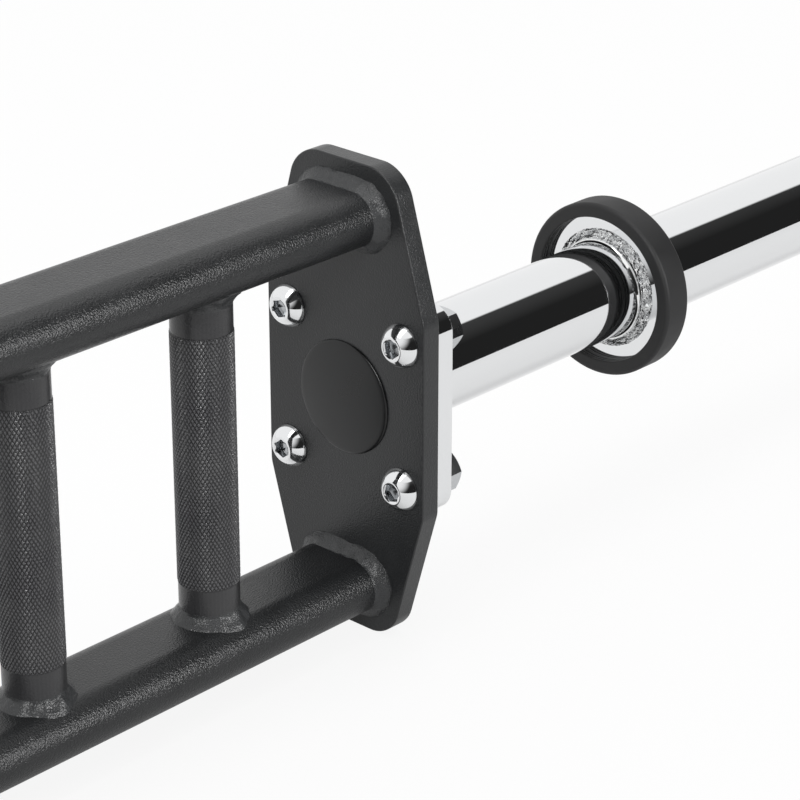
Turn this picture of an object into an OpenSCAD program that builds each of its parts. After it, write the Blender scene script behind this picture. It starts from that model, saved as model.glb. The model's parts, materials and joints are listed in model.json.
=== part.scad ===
// Swiss bar: a ladder frame with upright grips between two end plates, and a fixed sleeve bolted
// to each plate. X runs along the bar, Y across it and Z up. The bar stands on its end plates.

/* [Frame] */
// Spacing of the upright grips along the bar
handle_pitch = 103; // [80:1:110]
// Inner face of an end plate to the axis of the nearest grip
end_gap = 88.5; // [60:0.5:110]
// Height between the centre lines of the two rails
rail_span = 184; // [174:1:186]
// Width of a flat-oval rail, across the bar
rail_w = 50; // [44:1:54]
// Height of a flat-oval rail
rail_h = 26; // [20:1:28]
// Wall thickness of a rail
rail_wall = 3; // [2:0.25:4]
// Leg of the weld bead between a rail and an end plate
rail_weld = 4.8; // [3:0.2:5.6]

/* [Grips] */
// Diameter of the plain bands at the ends of a grip
handle_d = 28; // [24:0.5:32]
// Height of the knurled zone over the plain bands
knurl_rise = 0.3; // [0.1:0.05:0.6]
// Length of the knurled zone
knurl_len = 122; // [90:1:134]
// Wall thickness of a grip tube
handle_wall = 3.5; // [2:0.25:5]
// Leg of the weld fillet round a grip, along the rail
handle_weld = 4; // [3:0.2:5]
// Height of that weld fillet up the grip
handle_weld_h = 5; // [3:0.2:6]

/* [End plates] */
// Width of an end plate, across the bar
plate_w = 99.2; // [98:0.2:120]
// Height of an end plate
plate_h = 233; // [228:1:260]
// Thickness of an end plate
plate_t = 10.5; // [8:0.5:14]
// Width of the short top and bottom edges, measured to the sharp corners
plate_top_w = 59.2; // [58:0.2:68]
// Height of the upright sides between the two tapers
plate_side_h = 95; // [80:1:100]
// Corner radius at the top and bottom edges
plate_corner_r = 18; // [10:1:20]
// Corner radius where a taper meets an upright side
plate_side_r = 12; // [4:1:20]

/* [Bolts] */
// Thread diameter of the flange bolts
bolt_d = 12; // [8:1:12]
// Bolt spacing across the bar
bolt_y = 71.5; // [70:0.5:74]
// Bolt spacing up the plate
bolt_z = 71.6; // [70:0.4:76]
// Radial clearance of a bolt hole
hole_clear = 0.5; // [0.3:0.1:1]
// Diameter of the button head
head_d = 21; // [19:0.5:22]
// Height of the button head
head_h = 6.6; // [5:0.2:7.4]
// Width across flats of the hex socket
socket_af = 8; // [6:0.5:9]
// Depth of the hex socket
socket_depth = 4.6; // [3:0.2:4.8]
// Width across flats of the nut
nut_af = 18; // [16:0.5:19]
// Height of the nut
nut_h = 10.8; // [8:0.2:12]
// Length of bolt that stands out of the nut
bolt_over = 1.5; // [0.5:0.25:4]

/* [Flange] */
// Width of a sleeve flange, across the bar
flange_w = 97; // [94:1:98]
// Height of a sleeve flange
flange_h = 102; // [98:1:108]
// Thickness of a sleeve flange
flange_t = 10.5; // [8:0.5:14]
// Corner radius of a sleeve flange
flange_r = 12; // [6:1:16]

/* [Sleeve] */
// Outer diameter of the sleeve tube
tube_d = 50; // [48:0.2:51]
// Wall thickness of the sleeve tube
tube_wall = 5; // [3:0.5:7]
// Bare tube between the flange and the stop ring, where the bar lies in a rack
rack_len = 163; // [120:1:190]
// Bare tube outside the stop ring, for the weight plates
load_len = 400; // [250:5:450]
// Radial clearance of the sleeve tube in the end plate
bore_clear = 0.3; // [0.2:0.1:0.6]
// Leg of the weld bead between tube and flange
tube_weld = 4.5; // [3:0.25:5.5]
// Leg of the weld bead on the stop disc
stop_weld = 6.5; // [3:0.25:7]
// Length of that bead along the tube
stop_weld_h = 5.5; // [3:0.25:6]
// Depth of the shallow seat turned in the tube under the stop disc and its weld beads
seat_depth = 0.4; // [0.3:0.05:0.8]

/* [Stop ring] */
// Outer diameter of the rubber ring
ring_d = 91; // [88:1:110]
// Width of the rubber ring along the bar
ring_w = 17; // [14:0.5:22]
// Radial thickness of the rubber ring at its lips
ring_wall = 7.5; // [5:0.25:12]
// Rounding of the outer edges of the rubber ring
ring_edge = 2.2; // [0.6:0.2:3]
// Depth of the channel in the rubber that grips the rim of the steel stop disc
ring_grip = 3.5; // [2:0.25:4.5]
// Thickness of the steel stop disc
disc_t = 6; // [4:0.5:8]

/* [Plugs] */
// Diameter of the round cap on the inner face of an end plate
cap_d = 55.5; // [54:0.5:64]
// Thickness of the cap at its rim
cap_rim = 1.2; // [0.8:0.1:2]
// Rise of the domed cap over its rim
cap_dome = 1.8; // [1:0.1:3]
// Length of the hollow stem that holds a plug in the tube
stem_len = 16; // [8:1:30]
// Wall thickness of the stem
stem_wall = 2.5; // [1.5:0.25:4]
// Thickness of the head of the plug in the sleeve's outer end
plug_head = 3.5; // [2:0.5:8]

/* [Hidden] */
$fn = 72;

handles = 8;
in_x = ((handles - 1) * handle_pitch + 2 * end_gap) / 2;
axis_z = plate_h / 2;
rail_top_z = axis_z + rail_span / 2;
rail_bot_z = axis_z - rail_span / 2;
rail_len = 2 * in_x;
grip_len = rail_span - rail_h;
handle_r = handle_d / 2;
grip_r = handle_r + knurl_rise;
tube_r = tube_d / 2;
bore_r = tube_r - tube_wall;
seat_r = tube_r - seat_depth;
plate_out_x = in_x + plate_t;
flange_out_x = plate_out_x + flange_t;
ring_in_x = flange_out_x + rack_len;
ring_mid_x = ring_in_x + ring_w / 2;
ring_out_x = ring_in_x + ring_w;
disc_in_x = ring_mid_x - disc_t / 2;
disc_out_x = ring_mid_x + disc_t / 2;
seat_in_x = disc_in_x - stop_weld_h;
seat_w = disc_t + 2 * stop_weld_h;
lip_d = ring_d - 2 * ring_wall;
disc_d = lip_d + 2 * ring_grip;
tube_in_x = in_x + 1;
tube_out_x = ring_out_x + load_len;
cut = 1;

// Turn of each hex socket and each nut about its bolt, as they ended up when tightened
socket_turn = [45, 20, 22, 43];
nut_turn = [50, 5, 33, 18];

black = [0.11, 0.11, 0.12];
weld_black = [0.14, 0.14, 0.15];
chrome = [0.78, 0.79, 0.81];
weld_chrome = [0.66, 0.67, 0.69];
rubber = [0.05, 0.05, 0.05];
plastic = [0.08, 0.08, 0.09];

function unit(v) = v / norm(v);

// Distance from a corner to the tangent point of its rounding.
function tangent_len(c, a, b, r) = r / tan(acos(unit(a - c) * unit(b - c)) / 2);

// Point on the edge from c toward a where the rounding starts.
function tangent_at(c, a, b, r) = c + unit(a - c) * tangent_len(c, a, b, r);

// Centre of the rounding of a corner.
function round_centre(c, a, b, r) =
    c + unit(unit(a - c) + unit(b - c)) * r / sin(acos(unit(a - c) * unit(b - c)) / 2);

// Places a shape drawn about +Z so that its Z runs along +X from x, at the height of the sleeve.
module along_x(x, y = 0, z = axis_z) {
    translate([x, y, z]) rotate([90, 0, 90]) children();
}

// The right-hand side as drawn, or its mirror image for the left.
module side(s) {
    if (s > 0) {
        children();
    } else {
        mirror([1, 0, 0]) children();
    }
}

// Flat oval: straight top and bottom with a half circle at each end.
module flat_oval(w, h) {
    square([w - h, h], center = true);
    translate([(w - h) / 2, 0]) circle(d = h);
    translate([-(w - h) / 2, 0]) circle(d = h);
}

// Solid outline of a rail, as long as needed to cut other pieces to it.
module rail_body(z, length) {
    along_x(-length / 2, 0, z) linear_extrude(length) flat_oval(rail_w, rail_h);
}

module rail(z) {
    difference() {
        rail_body(z, rail_len);
        along_x(-rail_len / 2 - cut, 0, z)
            linear_extrude(rail_len + 2 * cut) flat_oval(rail_w - 2 * rail_wall, rail_h - 2 * rail_wall);
    }
}

// Grip tube, coped to both rails, with plain bands at its ends.
module handle(i) {
    x = (i - (handles + 1) / 2) * handle_pitch;
    difference() {
        translate([x, 0, axis_z]) {
            cylinder(r = handle_r, h = grip_len + 6, center = true);
            cylinder(r = grip_r, h = knurl_len, center = true);
        }
        translate([x, 0, axis_z])
            cylinder(r = handle_r - handle_wall, h = grip_len + 8, center = true);
        translate([x, 0, 0]) {
            rail_body(rail_top_z, 3 * handle_d);
            rail_body(rail_bot_z, 3 * handle_d);
        }
    }
}

// Section of the fillet round a grip: it flares, and its foot runs on down past the flat of the rail.
module handle_bead_section() {
    polygon([
        [handle_r, -2.4],
        [handle_r + handle_weld + 1.4, -2.4],
        [handle_r + handle_weld, 0],
        [handle_r + handle_weld * 0.62, handle_weld_h * 0.32],
        [handle_r + handle_weld * 0.28, handle_weld_h * 0.64],
        [handle_r, handle_weld_h]
    ]);
}

module handle_welds(top) {
    z = top ? rail_top_z : rail_bot_z;
    face = top ? rail_top_z - rail_h / 2 : rail_bot_z + rail_h / 2;
    difference() {
        for (i = [1 : handles]) {
            translate([(i - (handles + 1) / 2) * handle_pitch, 0, face])
                mirror([0, 0, top ? 1 : 0]) rotate_extrude() handle_bead_section();
        }
        rail_body(z, rail_len);
    }
}

// Corner of an outline to be taken off so that a circle of radius r rounds it.
module corner_waste(c, a, b, r) {
    t0 = tangent_at(c, a, b, r);
    t1 = tangent_at(c, b, a, r);
    m = round_centre(c, a, b, r);
    difference() {
        polygon([t0, c, t1, (t0 + t1) / 2 + (m - c) * 0.01]);
        translate([m[0], m[1]]) circle(r = r);
    }
}

// Outline of an end plate: upright sides that taper to short edges, Y across and Z up.
module plate_outline() {
    w = plate_w / 2;
    h = plate_h / 2;
    t = plate_top_w / 2;
    s = plate_side_h / 2;
    difference() {
        polygon([[t, h], [w, s], [w, -s], [t, -h], [-t, -h], [-w, -s], [-w, s], [-t, h]]);
        for (my = [0, 1], mz = [0, 1]) {
            mirror([my, 0]) mirror([0, mz]) {
                corner_waste([t, h], [-t, h], [w, s], plate_corner_r);
                corner_waste([w, s], [t, h], [w, -s], plate_side_r);
            }
        }
    }
}

// Place of bolt k of the four, Y across and Z up from the middle of the plate.
function bolt_place(k) = [(k < 2 ? -1 : 1) * bolt_y / 2, (k % 2 == 0 ? -1 : 1) * bolt_z / 2];

module bolt_holes() {
    for (k = [0 : 3]) {
        translate(bolt_place(k)) circle(r = bolt_d / 2 + hole_clear);
    }
}

module end_plate(s) {
    side(s) along_x(in_x) linear_extrude(plate_t) difference() {
        plate_outline();
        circle(r = tube_r + bore_clear);
        bolt_holes();
    }
}

// Section of a slightly bulged fillet, with its legs on the two faces it joins.
module bead_section(a, b) {
    polygon([[0, 0], [a, 0], [a * 0.72, b * 0.42], [a * 0.42, b * 0.72], [0, b]]);
}

// Bead that runs right round a flat-oval rail where it meets the end plate, about +Z.
module rail_bead() {
    half = (rail_w - rail_h) / 2;
    rise = rail_weld * 1.2;
    difference() {
        union() {
            for (m = [-1, 1]) {
                translate([m * half, 0, 0]) rotate_extrude() bead_solid_section(rise);
            }
            rotate([90, 0, 90]) linear_extrude(2 * half, center = true) {
                bead_solid_section(rise);
                mirror([1, 0]) bead_solid_section(rise);
            }
        }
        translate([0, 0, -cut]) linear_extrude(rise + 2 * cut) flat_oval(rail_w, rail_h);
    }
}

// Section of the bead with the rail's half height filled in.
module bead_solid_section(rise) {
    square([rail_h / 2, rise]);
    translate([rail_h / 2, 0]) bead_section(rail_weld, rise);
}

module rail_welds(s) {
    side(s) for (z = [rail_top_z, rail_bot_z]) {
        translate([in_x, 0, z]) rotate([90, 0, -90]) rail_bead();
    }
}

// Domed cap over the sleeve's inner end, held by a hollow stem pressed into the tube.
module centre_cap(s) {
    dome_r = (pow(cap_d / 2 - cap_rim, 2) + pow(cap_dome, 2)) / (2 * cap_dome);
    side(s) translate([in_x, 0, axis_z]) rotate([0, -90, 0]) {
        rotate_extrude() {
            polygon([
                [0, 0], [cap_d / 2, 0], [cap_d / 2, cap_rim * 0.4],
                [cap_d / 2 - cap_rim, cap_rim], [0, cap_rim]
            ]);
            intersection() {
                translate([0, cap_rim + cap_dome - dome_r]) circle(r = dome_r, $fn = 240);
                translate([0, cap_rim]) square([cap_d / 2 - cap_rim, cap_dome]);
            }
        }
        translate([0, 0, -stem_len]) difference() {
            cylinder(r = bore_r, h = stem_len);
            translate([0, 0, -cut]) cylinder(r = bore_r - stem_wall, h = stem_len);
        }
    }
}

// Button head with a hex socket, and its shank; drawn along +Z with the head's seat at Z = 0.
module button_bolt(turn) {
    shank = plate_t + flange_t + nut_h + bolt_over;
    apex = head_h * 1.25;
    edge = head_h * 0.1;
    dome_r = (pow(head_d / 2, 2) + pow(apex - edge, 2)) / (2 * (apex - edge));
    difference() {
        rotate_extrude() {
            intersection() {
                translate([0, dome_r - apex]) circle(r = dome_r, $fn = 120);
                translate([0, -head_h]) square([head_d / 2, head_h - edge]);
            }
            translate([0, -edge]) square([head_d / 2, edge]);
            polygon([
                [0, -edge], [bolt_d / 2, -edge], [bolt_d / 2, shank - 1],
                [bolt_d / 2 - 1, shank], [0, shank]
            ]);
        }
        translate([0, 0, -head_h - cut]) rotate(turn)
            linear_extrude(socket_depth + cut) hexagon(socket_af);
    }
}

// Regular hexagon given its width across flats.
module hexagon(af) {
    r = af / sqrt(3);
    polygon([for (k = [0 : 5]) [r * cos(60 * k), r * sin(60 * k)]]);
}

// Hexagon nut with chamfered ends, its seat at Z = 0.
module hex_nut() {
    corner = nut_af / sqrt(3);
    difference() {
        intersection() {
            linear_extrude(nut_h) hexagon(nut_af);
            rotate_extrude() polygon([
                [0, 0], [nut_af / 2, 0], [corner + 0.1, (corner + 0.1 - nut_af / 2) * 0.6],
                [corner + 0.1, nut_h - (corner + 0.1 - nut_af / 2) * 0.6], [nut_af / 2, nut_h], [0, nut_h]
            ]);
        }
        translate([0, 0, -cut]) cylinder(r = bolt_d / 2, h = nut_h + 2 * cut);
    }
}

module flange_bolts(s) {
    side(s) along_x(in_x) for (k = [0 : 3]) translate(bolt_place(k)) button_bolt(socket_turn[k]);
}

module flange_nuts(s) {
    side(s) along_x(flange_out_x) for (k = [0 : 3]) translate(bolt_place(k)) rotate(nut_turn[k]) hex_nut();
}

module rounded_rect(w, h, r) {
    square([w - 2 * r, h], center = true);
    square([w, h - 2 * r], center = true);
    for (my = [-1, 1], mz = [-1, 1]) {
        translate([my * (w / 2 - r), mz * (h / 2 - r)]) circle(r = r);
    }
}

module flange(s) {
    side(s) along_x(plate_out_x) linear_extrude(flange_t) difference() {
        rounded_rect(flange_w, flange_h, flange_r);
        circle(r = tube_r);
        bolt_holes();
    }
}

module flange_weld(s) {
    side(s) along_x(flange_out_x) rotate_extrude()
        translate([tube_r, 0]) bead_section(tube_weld, tube_weld);
}

// Sleeve tube with the shallow seat for the stop disc and its two weld beads.
module sleeve_tube(s) {
    side(s) difference() {
        along_x(tube_in_x) cylinder(r = tube_r, h = tube_out_x - tube_in_x);
        along_x(tube_in_x - cut) cylinder(r = bore_r, h = tube_out_x - tube_in_x + 2 * cut);
        along_x(seat_in_x) difference() {
            cylinder(r = tube_r + cut, h = seat_w);
            translate([0, 0, -cut]) cylinder(r = seat_r, h = seat_w + 2 * cut);
        }
    }
}

module stop_disc(s) {
    side(s) along_x(disc_in_x) difference() {
        cylinder(r = disc_d / 2, h = disc_t);
        translate([0, 0, -cut]) cylinder(r = tube_r, h = disc_t + 2 * cut);
    }
}

// Ring of weld on the stop disc: a raised toe on the disc that sweeps down hollow to the tube.
module stop_bead() {
    a = stop_weld;
    b = stop_weld_h;
    rotate_extrude() translate([seat_r, 0])
        polygon([[0, 0], [a, 0], [a * 0.88, b * 0.2], [a * 0.5, b * 0.36], [a * 0.2, b * 0.62], [0, b]]);
}

module stop_weld_inner(s) {
    side(s) along_x(disc_in_x) mirror([0, 0, 1]) stop_bead();
}

module stop_weld_outer(s) {
    side(s) along_x(disc_out_x) stop_bead();
}

// Rubber ring with a channel that grips the rim of the stop disc.
module stop_rubber(s) {
    side(s) along_x(ring_mid_x) rotate_extrude() difference() {
        translate([ring_d / 4 + lip_d / 4, 0])
            rounded_rect((ring_d - lip_d) / 2, ring_w, ring_edge);
        translate([0, -disc_t / 2]) square([disc_d / 2, disc_t]);
    }
}

// Plug in the outer end of the sleeve, flush with the tube's outside.
module sleeve_plug(s) {
    side(s) along_x(tube_out_x) {
        rotate_extrude() polygon([
            [0, 0], [tube_r - 0.6, 0], [tube_r - 0.6, plug_head * 0.5],
            [tube_r - 0.6 - plug_head * 0.5, plug_head], [0, plug_head]
        ]);
        translate([0, 0, -stem_len]) difference() {
            cylinder(r = bore_r, h = stem_len);
            translate([0, 0, -cut]) cylinder(r = bore_r - stem_wall, h = stem_len);
        }
    }
}

module rail_top() { color(black) rail(rail_top_z); }
module rail_bottom() { color(black) rail(rail_bot_z); }
module handle_1() { color(black) handle(1); }
module handle_2() { color(black) handle(2); }
module handle_3() { color(black) handle(3); }
module handle_4() { color(black) handle(4); }
module handle_5() { color(black) handle(5); }
module handle_6() { color(black) handle(6); }
module handle_7() { color(black) handle(7); }
module handle_8() { color(black) handle(8); }
module handle_welds_top() { color(weld_black) handle_welds(true); }
module handle_welds_bottom() { color(weld_black) handle_welds(false); }
module end_plate_left() { color(black) end_plate(-1); }
module end_plate_right() { color(black) end_plate(1); }
module rail_welds_left() { color(weld_black) rail_welds(-1); }
module rail_welds_right() { color(weld_black) rail_welds(1); }
module centre_cap_left() { color(plastic) centre_cap(-1); }
module centre_cap_right() { color(plastic) centre_cap(1); }
module flange_bolts_left() { color(chrome) flange_bolts(-1); }
module flange_bolts_right() { color(chrome) flange_bolts(1); }
module flange_nuts_left() { color(chrome) flange_nuts(-1); }
module flange_nuts_right() { color(chrome) flange_nuts(1); }
module flange_left() { color(chrome) flange(-1); }
module flange_right() { color(chrome) flange(1); }
module flange_weld_left() { color(weld_chrome) flange_weld(-1); }
module flange_weld_right() { color(weld_chrome) flange_weld(1); }
module sleeve_tube_left() { color(chrome) sleeve_tube(-1); }
module sleeve_tube_right() { color(chrome) sleeve_tube(1); }
module stop_disc_left() { color(chrome) stop_disc(-1); }
module stop_disc_right() { color(chrome) stop_disc(1); }
module stop_weld_inner_left() { color(weld_chrome) stop_weld_inner(-1); }
module stop_weld_inner_right() { color(weld_chrome) stop_weld_inner(1); }
module stop_weld_outer_left() { color(weld_chrome) stop_weld_outer(-1); }
module stop_weld_outer_right() { color(weld_chrome) stop_weld_outer(1); }
module stop_rubber_left() { color(rubber) stop_rubber(-1); }
module stop_rubber_right() { color(rubber) stop_rubber(1); }
module sleeve_plug_left() { color(plastic) sleeve_plug(-1); }
module sleeve_plug_right() { color(plastic) sleeve_plug(1); }

rail_top();
rail_bottom();
handle_1();
handle_2();
handle_3();
handle_4();
handle_5();
handle_6();
handle_7();
handle_8();
handle_welds_top();
handle_welds_bottom();
end_plate_left();
end_plate_right();
rail_welds_left();
rail_welds_right();
centre_cap_left();
centre_cap_right();
flange_bolts_left();
flange_bolts_right();
flange_nuts_left();
flange_nuts_right();
flange_left();
flange_right();
flange_weld_left();
flange_weld_right();
sleeve_tube_left();
sleeve_tube_right();
stop_disc_left();
stop_disc_right();
stop_weld_inner_left();
stop_weld_inner_right();
stop_weld_outer_left();
stop_weld_outer_right();
stop_rubber_left();
stop_rubber_right();
sleeve_plug_left();
sleeve_plug_right();
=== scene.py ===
"""Looks of a swiss bar: powder-coated grip frame, bolted end plates and chromed sleeves.

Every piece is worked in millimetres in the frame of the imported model, with X along the bar, Y across
it and Z up, and is brought to metres when it is finished. The right-hand side is worked as drawn and
the left-hand side is its mirror image.
"""

import sys

import json
import logging
import math
from collections.abc import Callable, Iterable, Sequence
from dataclasses import dataclass
from enum import Enum

import bmesh
import bpy
from mathutils import Matrix, Vector, noise

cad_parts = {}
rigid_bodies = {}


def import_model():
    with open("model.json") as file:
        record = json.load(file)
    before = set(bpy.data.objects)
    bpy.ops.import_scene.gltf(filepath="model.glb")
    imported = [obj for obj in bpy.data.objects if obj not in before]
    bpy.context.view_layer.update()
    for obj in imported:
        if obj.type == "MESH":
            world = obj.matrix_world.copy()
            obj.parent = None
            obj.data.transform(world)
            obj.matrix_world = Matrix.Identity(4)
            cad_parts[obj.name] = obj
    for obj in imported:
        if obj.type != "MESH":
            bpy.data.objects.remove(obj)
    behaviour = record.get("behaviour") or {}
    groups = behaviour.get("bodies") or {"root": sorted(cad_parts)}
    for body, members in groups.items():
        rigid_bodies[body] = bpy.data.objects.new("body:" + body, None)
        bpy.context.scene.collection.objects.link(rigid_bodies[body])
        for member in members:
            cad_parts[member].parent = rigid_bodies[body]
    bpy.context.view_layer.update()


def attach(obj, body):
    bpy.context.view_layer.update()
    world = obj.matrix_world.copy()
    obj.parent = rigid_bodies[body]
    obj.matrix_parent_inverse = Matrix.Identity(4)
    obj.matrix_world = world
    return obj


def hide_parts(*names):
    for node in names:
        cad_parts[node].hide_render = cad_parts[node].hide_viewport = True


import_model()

log = logging.getLogger("swiss_bar")

Material = bpy.types.Material
Node = bpy.types.Node
Socket = bpy.types.NodeSocket
Pair = tuple[float, float]
Place = tuple[float, float, float]
Points = Sequence[Pair]
Measure = float | Callable[[float], float]

MM = 0.001
TURN = 2 * math.pi
WHITE = (1.0, 1.0, 1.0, 1.0)

# Sizes that several pieces share, in millimetres: the bar's axis, the face of an end plate toward the
# grips, the face of a flange that the nuts sit on, and the radii of the sleeve, its bore and a bolt hole
AXIS_Z = 116.5
PLATE_X = 449.0
FLANGE_X = 470.0
TUBE_R = 25.0
BORE_R = 20.0
HOLE_R = 6.5

# Places of the bolts across and up from the axis
BOLT_PLACES = [(35.75 * across, 35.8 * up) for across in (-1, 1) for up in (-1, 1)]

# Spacing of the grips, and the radii over the crests and in the grooves of their knurl
GRIP_PITCH = 103.0
CREST_R = 14.3
GROOVE_R = 13.9

# Facets round a turned piece, and round a large one
STEPS = 144
FINE_STEPS = 180


class Tagged(Enum):
    """A choice that the names of pieces tell."""

    @property
    def tag(self) -> str:
        """The choice's name in small letters."""
        return self.name.lower()


class Side(Tagged):
    """The two ends of the bar, by the sign of their X."""

    LEFT = -1
    RIGHT = 1


class Level(Tagged):
    """The two rails, by the height of their centre lines in millimetres."""

    TOP = AXIS_Z + 92.0
    BOTTOM = AXIS_Z - 92.0


def linear(code: str) -> tuple[float, float, float, float]:
    """Turn an sRGB hex colour into linear light.

    Args:
        code: The colour as #rrggbb.

    Returns:
        Red, green, blue and an alpha of 1.
    """
    channels = [int(code[i : i + 2], 16) / 255 for i in (1, 3, 5)]
    lit = [c / 12.92 if c <= 0.04045 else ((c + 0.055) / 1.055) ** 2.4 for c in channels]
    return lit[0], lit[1], lit[2], 1.0


class Bench:
    """A node tree that is being wired."""

    noise_span: Pair = (0.3, 0.7)

    def __init__(self, owner: Material | bpy.types.World) -> None:
        """Clear the node tree of a material or of the world."""
        owner.use_nodes = True
        self.tree = owner.node_tree
        self.tree.nodes.clear()

    def add(self, kind: str, inputs: dict | None = None, **settings: object) -> Node:
        """Add a node with its settings and links.

        Args:
            kind: The node's type name, without the ShaderNode that it starts with.
            inputs: What goes into each socket, a value or another node's output, by name or number.
            **settings: The node's own settings.

        Returns:
            The new node.
        """
        node = self.tree.nodes.new("ShaderNode" + kind)
        for name, value in settings.items():
            setattr(node, name, value)
        for key, value in (inputs or {}).items():
            if isinstance(value, Socket):
                self.tree.links.new(value, node.inputs[key])
            else:
                node.inputs[key].default_value = value
        return node

    def work(self, operation: str, *values: float | Socket) -> Socket:
        """The result of a step of arithmetic on some values."""
        return self.add("Math", dict(enumerate(values)), operation=operation).outputs[0]

    def remap(self, value: Socket, old: Pair, new: Pair, ease: bool = False) -> Socket:
        """Bring a value from one range to another, clamped.

        Args:
            value: The value.
            old: The range that it comes from.
            new: The range that it goes to.
            ease: Whether it eases in and out at the ends.

        Returns:
            The new value.
        """
        inputs = {"Value": value, "From Min": old[0], "From Max": old[1], "To Min": new[0], "To Max": new[1]}
        kind = "SMOOTHSTEP" if ease else "LINEAR"
        return self.add("MapRange", inputs, interpolation_type=kind).outputs["Result"]

    def mix(self, share: Socket, none: float, full: Socket) -> Socket:
        """A value that goes from one to another with a share."""
        return self.add("Mix", {"Factor": share, "A": none, "B": full}, data_type="FLOAT").outputs["Result"]

    def where(self) -> bpy.types.NodeOutputs:
        """The place on the piece in metres, by its X, Y and Z."""
        return self.add("SeparateXYZ", {0: self.add("TexCoord").outputs["Object"]}).outputs

    def length(self, across: Socket, up: Socket) -> Socket:
        """The length of a vector with two parts at right angles."""
        both = self.add("CombineXYZ", {0: across, 1: up}).outputs[0]
        return self.add("VectorMath", {0: both}, operation="LENGTH").outputs["Value"]

    def grain(self, size_mm: float, octaves: float, rough: float = 0.5) -> Socket:
        """A noise whose lumps have a real size.

        Args:
            size_mm: Width of a lump in millimetres.
            octaves: Octaves of finer noise on it.
            rough: Share that each finer octave keeps.

        Returns:
            The noise's value, 0 to 1.
        """
        place = self.add("TexCoord").outputs["Object"]
        inputs = {"Vector": place, "Scale": 1 / (size_mm * MM), "Detail": octaves, "Roughness": rough}
        return self.add("TexNoise", inputs).outputs["Fac"]

    def spread(self, value: Socket, low: float, high: float) -> Socket:
        """A noise value spread from a low to a high number."""
        return self.remap(value, self.noise_span, (low, high))

    def tint(self, value: Socket, dark: str, light: str) -> Socket:
        """Spread a noise value between two colours.

        Args:
            value: The noise value.
            dark: Hex colour at its low end.
            light: Hex colour at its high end.

        Returns:
            The colour.
        """
        ramp = self.add("ValToRGB", {"Fac": value})
        stops = ramp.color_ramp.elements
        for stop, position, code in zip(stops, self.noise_span, (dark, light)):
            stop.position = position
            stop.color = linear(code)
        return ramp.outputs["Color"]

    def bump(self, height: Socket, deep_mm: float, strength: float = 1.0) -> Socket:
        """The normal of a surface with some relief, in millimetres."""
        inputs = {"Strength": strength, "Distance": deep_mm * MM, "Height": height}
        return self.add("Bump", inputs).outputs["Normal"]

    def surface(self, colour: Socket | tuple, rough: Socket, normal: Socket, ior: float = 0.0) -> Node:
        """Wire the shader of a solid surface.

        Args:
            colour: Its colour.
            rough: Its roughness.
            normal: Its normal.
            ior: Its index of refraction, or 0 for a metal.

        Returns:
            The shader node.
        """
        kind = {"IOR": ior} if ior else {"Metallic": 1.0}
        inputs = {"Base Color": colour, "Roughness": rough, "Normal": normal, **kind}
        return self.add("BsdfPrincipled", inputs)


# Finishes


@dataclass(frozen=True)
class Finish:
    """A surface finish that makes one material.

    Attributes:
        name: The material's name.
    """

    name: str

    def make(self) -> Material:
        """Build the material.

        Returns:
            The material with its nodes.
        """
        material = bpy.data.materials.new(self.name)
        bench = Bench(material)
        bench.add("OutputMaterial", {"Surface": self.shade(bench).outputs[0]})
        return material

    def shade(self, bench: Bench) -> Node:
        """Wire the shader.

        Args:
            bench: Where the material is wired.

        Returns:
            The shader node that goes to the surface.
        """
        raise NotImplementedError


@dataclass(frozen=True)
class PowderCoat(Finish):
    """Fine-textured polyester powder coat, sprayed and baked on steel.

    It gives a soft black with a pin-head grain that breaks up highlights, and a low gloss. The real
    grain is about 0.4 mm, and is drawn twice as coarse so that it shows.

    Attributes:
        dark: Colour in the hollows of the mottle.
        light: Colour on its crests.
        grain_mm: Width of a grain of the texture.
        relief_mm: Height of the texture.
        gloss: Roughness of the smoothest patches.
        dull: Roughness of the dullest patches.
        mottle_mm: Width of a patch of the mottle.
    """

    dark: str = "#171819"
    light: str = "#1c1d1e"
    grain_mm: float = 0.85
    relief_mm: float = 0.31
    gloss: float = 0.29
    dull: float = 0.36
    mottle_mm: float = 22.0

    def shade(self, bench: Bench) -> Node:
        """Wire the shader. See Finish."""
        fine = bench.grain(self.grain_mm, octaves=1.0, rough=0.6)
        mottle = bench.grain(self.mottle_mm, octaves=3.0)
        rough = bench.spread(mottle, self.gloss, self.dull)
        return bench.surface(self.colour(bench, mottle), rough, bench.bump(fine, self.relief_mm), ior=1.45)

    def colour(self, bench: Bench, mottle: Socket) -> Socket:
        """The coat's colour at a value of the mottle."""
        return bench.tint(mottle, self.dark, self.light)


@dataclass(frozen=True)
class KnurledCoat(PowderCoat):
    """The grips' powder coat, with painted shade in the knurl's grooves and painted light on its crests.

    The real teeth are finer and steeper than those drawn, and shade each other. The dark grooves are
    painted shade that stands in for that, and the lighter crests are painted light.

    Attributes:
        groove_level: Share of the coat's colour that is left in a groove, as painted shade.
        crest_level: The same on a crest, above 1 as painted light.
    """

    groove_level: float = 0.3
    crest_level: float = 1.6

    def colour(self, bench: Bench, mottle: Socket) -> Socket:
        """The coat's colour with painted shade and light, by the distance from the grip's own axis.

        Args:
            bench: Where the material is wired.
            mottle: Value of the mottle.

        Returns:
            The colour.
        """
        place = bench.where()
        along = bench.work("FLOORED_MODULO", place["X"], GRIP_PITCH * MM)
        off_axis = bench.work("SUBTRACT", along, GRIP_PITCH / 2 * MM)
        away = bench.length(off_axis, place["Y"])
        # Painted shade down in the grooves, painted light up on the crests
        level = bench.remap(away, (GROOVE_R * MM, CREST_R * MM), (self.groove_level, self.crest_level))
        inputs = {0: super().colour(bench, mottle), "Scale": level}
        return bench.add("VectorMath", inputs, operation="SCALE").outputs["Vector"]


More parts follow.
